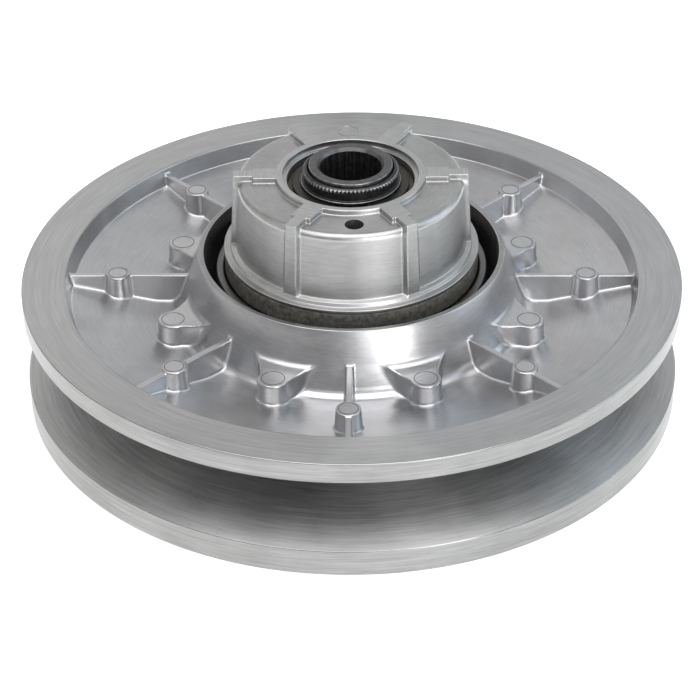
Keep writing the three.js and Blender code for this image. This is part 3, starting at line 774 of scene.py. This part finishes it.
def spring_cup():
    rs = np.concatenate([np.arange(CUP_NET_FROM, 43.5, 0.45), np.arange(43.5, CUP_NET_TO + 0.2, 0.3)])
    ts = sector_angles(CUP_SECTORS, [(2.4, 0.6), (5.0, 0.36), (3.6, 0.6), (19.0, 1.0)])
    zs = np.concatenate([np.arange(66.1, 70, 0.28), np.arange(70, 95, 0.62), np.arange(95, 101.3, 0.3)])
    vertices, quads = surface_net(cup_field, rs, ts, zs)
    rest = rounded([
        (CUP_NET_TO + 0.1, CUP_FLANGE_TOP), (CUP_FLANGE_R, CUP_FLANGE_TOP, 0.35),
        (CUP_FLANGE_R, CUP_FLANGE_LOW, 0.35), (CUP_WALL_R, CUP_FLANGE_LOW, 0.3),
        (CUP_WALL_R, CUP_FOOT, 0.5), (CUP_WALL_BORE_R, CUP_FOOT, 0.5),
        (CUP_WALL_BORE_R, CUP_CEILING, 1.5), (CUP_BORE_R, CUP_CEILING, 0.4),
        (CUP_BORE_R, CUP_RECESS_FLOOR, 0.4), (CUP_RECESS_R, CUP_RECESS_FLOOR, 0.3),
        (CUP_RECESS_R, CUP_TOP, 0.5),
        (CUP_NET_FROM - 0.2, CUP_TOP),
    ])
    vertices, quads = turned_between(vertices, quads, rest)
    piece = mesh_object("spring_cup_shell", place_in_space(vertices), quads, [cup_metal, cup_turned],
                        NET_SHARP_DEGREES)
    cut_round_holes(piece, math.hypot(CUP_HOLE_X, CUP_HOLE_Y), 1, CUP_HOLE_R, CUP_CEILING - 3, CUP_TOP + 2,
                    math.atan2(CUP_HOLE_Y, CUP_HOLE_X), sharp_degrees=NET_SHARP_DEGREES)
    cut_round_holes(piece, DOWEL_CIRCLE_R, DOWELS, DOWEL_HOLE_R, CUP_CEILING - 2, DOWEL_HOLE_TOP,
                    DOWEL_TURN, 20, NET_SHARP_DEGREES)

    def chooser(r, z, normal_r, normal_z):
        return (z > CUP_TOP - 0.1) | (r < CUP_RECESS_R + 0.4) | (normal_r > 0.8)

    paint(piece, chooser)
    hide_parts("spring_cup")
    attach(piece, "root")


# ---- centre: post, bush, ring --------------------------------------------------------------------
def centre_post():
    shoulder = POST_TOP - 5.4
    outline = rounded([
        (POST_BORE_R, POST_FOOT, 0.3), (POST_FLANGE_R, POST_FOOT, 1.0),
        (POST_FLANGE_R, POST_FLANGE_TOP, 0.4), (POST_R, POST_FLANGE_TOP, 0.6),
        (POST_R, CLIP_LOW - 0.3, 0.1), (CLIP_GROOVE_R, CLIP_LOW - 0.3, 0.2),
        (CLIP_GROOVE_R, CLIP_HIGH + 0.3, 0.2), (POST_R, CLIP_HIGH + 0.3, 0.15),
        (POST_R, shoulder, 0.45), (NOSE_R - 0.35, shoulder, 0.3), (NOSE_R - 0.35, POST_TOP - 2.1),
        (NOSE_R, POST_TOP - 1.95), (NOSE_R, POST_TOP - 0.95), (NOSE_R - 0.5, POST_TOP - 0.45, 0.2),
        (NOSE_R - 1.0, POST_TOP, 0.15), (POST_BORE_R + 0.4, POST_TOP, 0.2),
        (POST_BORE_R, POST_TOP - 0.8, 0.2),
    ])

    def serrated(r, t, z):
        teeth = np.abs(r - NOSE_R) < 0.02
        wave = 2 * np.abs((t * SERRATIONS / TURN) % 1 - 0.5)
        return np.where(teeth, r + 0.8 * (wave - 0.65), r)

    piece = lathe("centre_post_shell", outline, [black_steel, wear_and_highlight_steel], SERRATIONS * 4, serrated)

    # lighter steel for wear on the serration crests and the top bevel; the band at the shoulder step is a
    # painted highlight
    def worn(r, z, normal_r, normal_z):
        crest = (z > POST_TOP - 1.8) & (r > NOSE_R - 0.05)
        bevel = (z > POST_TOP - 0.9) & (r > NOSE_R - 0.55)
        # painted highlight along the shoulder edge
        step = (np.abs(z - shoulder) < 0.5) & (r > POST_R - 0.45)
        return crest | bevel | step

    paint(piece, worn)
    cut_round_holes(piece, SCREW_CIRCLE_R, SCREWS, SCREW_HEAD_HOLE_R, POST_FOOT - 1, POST_FOOT + 4)
    cut_round_holes(piece, SCREW_CIRCLE_R, SCREWS, SCREW_HOLE_R, POST_FOOT - 1, POST_FLANGE_TOP + 1)
    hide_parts("centre_post")
    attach(piece, "root")


def splined_bush():
    tip, mouth = SPLINE_TIP_R, SPLINE_ROOT_R
    outside = rounded([(tip, BUSH_FOOT), (BUSH_R, BUSH_FOOT, 0.6), (BUSH_R, BUSH_TOP, 0.35),
                       (mouth, BUSH_TOP)])
    depths = np.array([1.3, 1.6, 2.1, 30, 60, BUSH_TOP - BUSH_FOOT - 0.1])
    bore = np.stack([np.full(len(depths), tip), BUSH_TOP - depths], 1)
    outline = np.concatenate([outside, [(tip + 0.15, BUSH_TOP - 1.1)], bore])

    def splined(r, t, z):
        """The gaps between the teeth start just below the mouth's cone."""
        phase = (t * SPLINE_TEETH / TURN) % 1
        gap = 1 - np.clip(5.0 * np.abs(phase - 0.5) - 0.75, 0, 1)
        depth = np.clip((BUSH_TOP - 1.4 - z) / 0.7, 0, 1)
        return np.where(r < tip + 0.01, r + (SPLINE_ROOT_R - tip) * gap * depth, r)

    piece = lathe("splined_bush_shell", outline, [bush_steel, wear_and_highlight_steel], SPLINE_TEETH * 16, splined)
    paint(piece, lambda r, z, normal_r, normal_z: (z > BUSH_TOP - 0.5) & (r > BUSH_R - 0.42))
    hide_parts("splined_bush")
    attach(piece, "root")


def retaining_ring():
    """An open ring with an eye at each end, its outer edge bevelled."""
    inner, outer, half_gap = 19.95, 24.4, 0.32
    eye_r, eye_turn = 1.0, half_gap + 0.09
    ring = bmesh.new()
    angles = np.linspace(half_gap, TURN - half_gap, 150)
    section = rounded([(inner, CLIP_LOW, 0.15), (outer, CLIP_LOW, 0.15), (outer, CLIP_HIGH, 0.3),
                       (inner, CLIP_HIGH, 0.15)], closed=True)
    loops = []
    for angle in angles + CLIP_TURN:
        cos, sin = math.cos(angle) * MM, math.sin(angle) * MM
        loops.append([ring.verts.new((r * cos, r * sin, z * MM)) for r, z in section])
    for a, b in zip(loops, loops[1:]):
        for i in range(len(a)):
            ring.faces.new((a[i - 1], a[i], b[i], b[i - 1]))
    ring.faces.new(loops[0])
    ring.faces.new(loops[-1][::-1])
    mesh = bpy.data.meshes.new("retaining_ring_shell")
    ring.to_mesh(mesh)
    ring.free()
    piece = finished("retaining_ring_shell", mesh, [clip_steel])
    middle = (inner + outer) / 2
    for side in (-1, 1):
        cut_round_holes(piece, middle, 1, eye_r, CLIP_LOW - 1, CLIP_HIGH + 1,
                        CLIP_TURN + side * eye_turn, 24)
    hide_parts("retaining_ring")
    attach(piece, "root")


# ---- turned small parts --------------------------------------------------------------------------
INNER_RADII = {"closing_bumper": 40, "guide_band": 50.8, "lower_bushing": 21.3,
               "upper_bushing": 21.3, "thrust_washer": 37.3}


def turned_part(node, body, material, points, sides=192):
    """Replaces a node with a turned shell that rides on the node's body."""
    piece = lathe(f"{node}_shell", rounded(points, closed=True), [material], sides)
    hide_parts(node)
    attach(piece, body)


def ring_points(node, edge):
    """The four corners of a plain ring node, with rounded edges. The frame's box has no inner radius."""
    (_, _, low), (outer, _, high) = corners(node)
    inner = INNER_RADII[node]
    return [(inner, low, edge), (outer, low, edge), (outer, high, edge), (inner, high, edge)]


def small_parts():
    turned_part("closing_bumper", "root", brown_polymer,
                ring_points("closing_bumper", 0.5))
    turned_part("guide_band", "root", brown_polymer, ring_points("guide_band", 0.45))
    for node in ("lower_bushing", "upper_bushing"):
        turned_part(node, "sliding_sheave", bronze, ring_points(node, 0.2), 128)
    turned_part("thrust_washer", "sliding_sheave", brown_polymer,
                ring_points("thrust_washer", 0.3), 128)
    (_, _, low), (outer, _, high) = corners("spring_seat")
    bore_r, collar_r = 36.2, 36.8
    turned_part("spring_seat", "spring_seat", bare_steel,
                [(bore_r, low, 0.5), (outer, low, 0.3), (outer, low + SEAT_PLATE, 0.6),
                 (collar_r, low + SEAT_PLATE, 0.4), (collar_r, high, 0.25), (bore_r, high, 0.25)], 128)


# ---- spring --------------------------------------------------------------------------------------
def compression_spring():
    """A round wire coil with closed, ground ends, built to the height of the frame's spring."""
    (_, _, low), (outer, _, high) = corners("compression_spring")
    wire_r = 2.75
    coil_r = outer - wire_r
    turns, closing = 4.5, 0.42
    steps, around = 420, 20
    points, faces = [], []
    for i in range(steps + 1):
        t = i / steps
        rise = t - closing * math.sin(TURN * t) / TURN
        angle = t * turns * TURN
        height = low + wire_r + rise * (high - low - 2 * wire_r)
        for j in range(around):
            side = j * TURN / around
            r = coil_r + wire_r * math.cos(side)
            points.append((r * math.cos(angle) * MM, r * math.sin(angle) * MM,
                           (height + wire_r * math.sin(side)) * MM))
        if i:
            here, before = i * around, (i - 1) * around
            faces += [(before + j, before + (j + 1) % around, here + (j + 1) % around, here + j)
                      for j in range(around)]
    mesh = bpy.data.meshes.new("spring_coil")
    faces.append(tuple(range(around))[::-1])
    faces.append(tuple(steps * around + j for j in range(around)))
    mesh.from_pydata(points, [], faces)
    piece = finished("spring_coil", mesh, [spring_steel])
    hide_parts("compression_spring")
    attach(piece, "root")
    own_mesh(piece)


# ---- screws --------------------------------------------------------------------------------------
def post_screws():
    """Socket screws under the post flange, heads down."""
    for i in range(SCREWS):
        node = f"post_screw_{i + 1}"
        (x0, y0, low), (x1, y1, high) = corners(node)
        place = Vector(((x0 + x1) / 2, (y0 + y1) / 2, 0)) * MM
        under_head = low + SCREW_HEAD_HEIGHT
        head = rounded([(0.02, high, 0), (SCREW_R - 0.5, high, 0.1), (SCREW_R, high - 0.5, 0.1),
                        (SCREW_R, under_head, 0.3), (SCREW_HEAD_R, under_head, 0.2),
                        (SCREW_HEAD_R, low, 0.5), (2.9, low, 0.15), (2.6, low + 0.3)])
        screw = bmesh.new()
        rings = []
        for r, z in head:
            rings.append([screw.verts.new((r * math.cos(j * TURN / ROUND_SIDES) * MM,
                                           r * math.sin(j * TURN / ROUND_SIDES) * MM, z * MM))
                          for j in range(ROUND_SIDES)])
        for depth in (0.3, SOCKET_DEPTH):
            ring = []
            for j in range(ROUND_SIDES):
                angle = j * TURN / ROUND_SIDES
                within = (angle % (TURN / 6)) - TURN / 12
                r = SOCKET_HALF / math.cos(within)
                ring.append(screw.verts.new((r * math.cos(angle) * MM, r * math.sin(angle) * MM,
                                             (low + depth) * MM)))
            rings.append(ring)
        for a, b in zip(rings, rings[1:]):
            for j in range(ROUND_SIDES):
                screw.faces.new((a[j - 1], a[j], b[j], b[j - 1]))
        screw.faces.new(rings[0])
        screw.faces.new(rings[-1][::-1])
        mesh = bpy.data.meshes.new(f"socket_screw_{i + 1}")
        screw.to_mesh(mesh)
        screw.free()
        mesh.transform(Matrix.Translation(place))
        piece = finished(f"socket_screw_{i + 1}", mesh, [black_steel])
        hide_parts(node)
        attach(piece, "root")


# ---- carried-over nodes --------------------------------------------------------------------------
def dress_cad_nodes():
    """Gives the nodes that keep their CAD shape their materials."""
    finishes = {"helix_cam": cam_steel}
    for i in (1, 2, 3):
        for stem, material in (("drive_key", bare_steel), ("cam_dowel", bare_steel),
                               ("roller_pin", bare_steel), ("cam_roller", brown_polymer)):
            finishes[f"{stem}_{i}"] = material
    for node, material in finishes.items():
        piece = bpy.data.objects[node]
        piece.data.materials.clear()
        piece.data.materials.append(material)


# ---- marks on the castings -----------------------------------------------------------------------
PIN_MARK_R, BOSS_MARK_R = 3.9, 4.7
CUP_MARK = (-0.7, 39.8, CUP_SECTOR_TOP, 4.3)


def raised_rings(name, body, material, places, half_width=0.22, height=0.12):
    """Thin circles left by the mould's ejector pins. places are (x, y, z, radius)."""
    marks = bmesh.new()
    for x, y, z, radius in places:
        section = [(radius - half_width, z - 0.1), (radius - half_width * 0.5, z + height),
                   (radius + half_width * 0.5, z + height), (radius + half_width, z - 0.1)]
        loops = []
        for j in range(ROUND_SIDES):
            angle = j * TURN / ROUND_SIDES
            cos, sin = math.cos(angle), math.sin(angle)
            loops.append([marks.verts.new(((x + r * cos) * MM, (y + r * sin) * MM, h * MM))
                          for r, h in section])
        for j in range(ROUND_SIDES):
            for k in range(4):
                marks.faces.new((loops[j - 1][k - 1], loops[j - 1][k], loops[j][k], loops[j][k - 1]))
    mesh = bpy.data.meshes.new(name)
    marks.to_mesh(mesh)
    marks.free()
    piece = finished(name, mesh, [material], 60)
    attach(piece, body)


def casting_marks():
    """Circles on the pins' and bosses' tops, and the round mark on the cup."""
    places = []
    for i in range(WEB_SECTORS):
        angle = WEB_TURN + i * TURN / WEB_SECTORS
        places.append((PIN_CIRCLE_R * math.cos(angle), PIN_CIRCLE_R * math.sin(angle),
                       WEB_PIN_TOP, PIN_MARK_R))
        angle += TURN / WEB_SECTORS / 2
        places.append((BOSS_CIRCLE_R * math.cos(angle), BOSS_CIRCLE_R * math.sin(angle),
                       BOSS_TOP, BOSS_MARK_R))
    raised_rings("web_ejector_marks", "sliding_sheave", bore_metal, places)
    raised_rings("cup_inspection_mark", "root", cup_metal,
                 [CUP_MARK], 0.3, 0.2)


# ---- studio --------------------------------------------------------------------------------------
# name, place in metres, size in metres, watts, tint
STUDIO_LIGHTS = [
    ("top_softbox", (0.0, -0.48, 1.55), (2.0, 1.3), 21.5, (1, 1, 1)),
    ("back_left_softbox", (-0.7, 1.6, 0.95), (1.4, 1.6), 3.45, (1, 0.995, 0.985)),
    ("back_right_softbox", (0.7, 1.6, 0.95), (1.4, 1.6), 3.0, (0.92, 0.97, 1)),
    ("left_softbox", (-1.6, 0.1, 0.8), (1.2, 1.2), 1.5, (1, 0.95, 0.90)),
    ("right_softbox", (1.6, 0.1, 0.8), (1.2, 1.2), 6.5, (0.72, 0.87, 1)),
    ("front_softbox", (0.62, -1.2, 0.30), (0.45, 0.6), 4.0, (1, 1, 1)),
    ("front_panel", (0.55, -1.5, 0.55), (1.0, 0.8), 3.8, (1, 1, 1)),
]
SKY_STRENGTH = 0.35


def studio():
    """A pale floor just under the pulley, a soft white world and softboxes aimed at the part."""
    bpy.ops.mesh.primitive_plane_add(size=6, location=(0, 0, -0.2 * MM))
    floor = bpy.context.object
    floor.name = "studio_floor"
    m = Nodes("studio_floor")
    spots = m.noise(m.place(), 3.0)
    m.connect(colour=m.colours(spots, (0.93, 0.93, 0.93), (0.95, 0.95, 0.95)))
    m.constants(Roughness=0.9, Emission_Strength=0.45)
    floor.data.materials.append(m.material)
    world = bpy.data.worlds.new("studio")
    bpy.context.scene.world = world
    world.use_nodes = True
    sky = world.node_tree.nodes["Background"]
    sky.inputs["Color"].default_value = (1, 1, 1, 1)
    sky.inputs["Strength"].default_value = SKY_STRENGTH
    for name, place, size, power, tint in STUDIO_LIGHTS:
        lamp = bpy.data.lights.new(name, "AREA")
        lamp.shape, lamp.size, lamp.size_y = "RECTANGLE", size[0], size[1]
        lamp.energy, lamp.color = power, tint
        lamp_object = bpy.data.objects.new(name, lamp)
        lamp_object.location = place
        lamp_object.rotation_euler = (-Vector(place)).to_track_quat("-Z", "Y").to_euler()
        bpy.context.scene.collection.objects.link(lamp_object)
    bpy.context.scene.view_settings.view_transform = "Standard"


def camera():
    """Looks down on the front of the pulley from about a metre, with a long lens."""
    elevation = math.radians(33.986)
    distance = 1.0359
    target = Vector((-0.00097, 0, 0.01166))
    back = Vector((0, -math.cos(elevation), math.sin(elevation)))
    view = bpy.data.cameras.new("camera")
    view.lens, view.sensor_width = 122.15, 36
    view.clip_start, view.clip_end = 0.05, 20
    eye = bpy.data.objects.new("camera", view)
    pitch, roll = math.pi / 2 - elevation, math.radians(-0.544)
    turn = Matrix.Rotation(pitch, 4, "X") @ Matrix.Rotation(roll, 4, "Z")
    eye.matrix_world = Matrix.Translation(target + back * distance) @ turn
    bpy.context.scene.collection.objects.link(eye)
    bpy.context.scene.camera = eye


camera()
sliding_sheave()
fixed_sheave()
spring_cup()
centre_post()
splined_bush()
retaining_ring()
small_parts()
compression_spring()
post_screws()
dress_cad_nodes()
casting_marks()
studio()
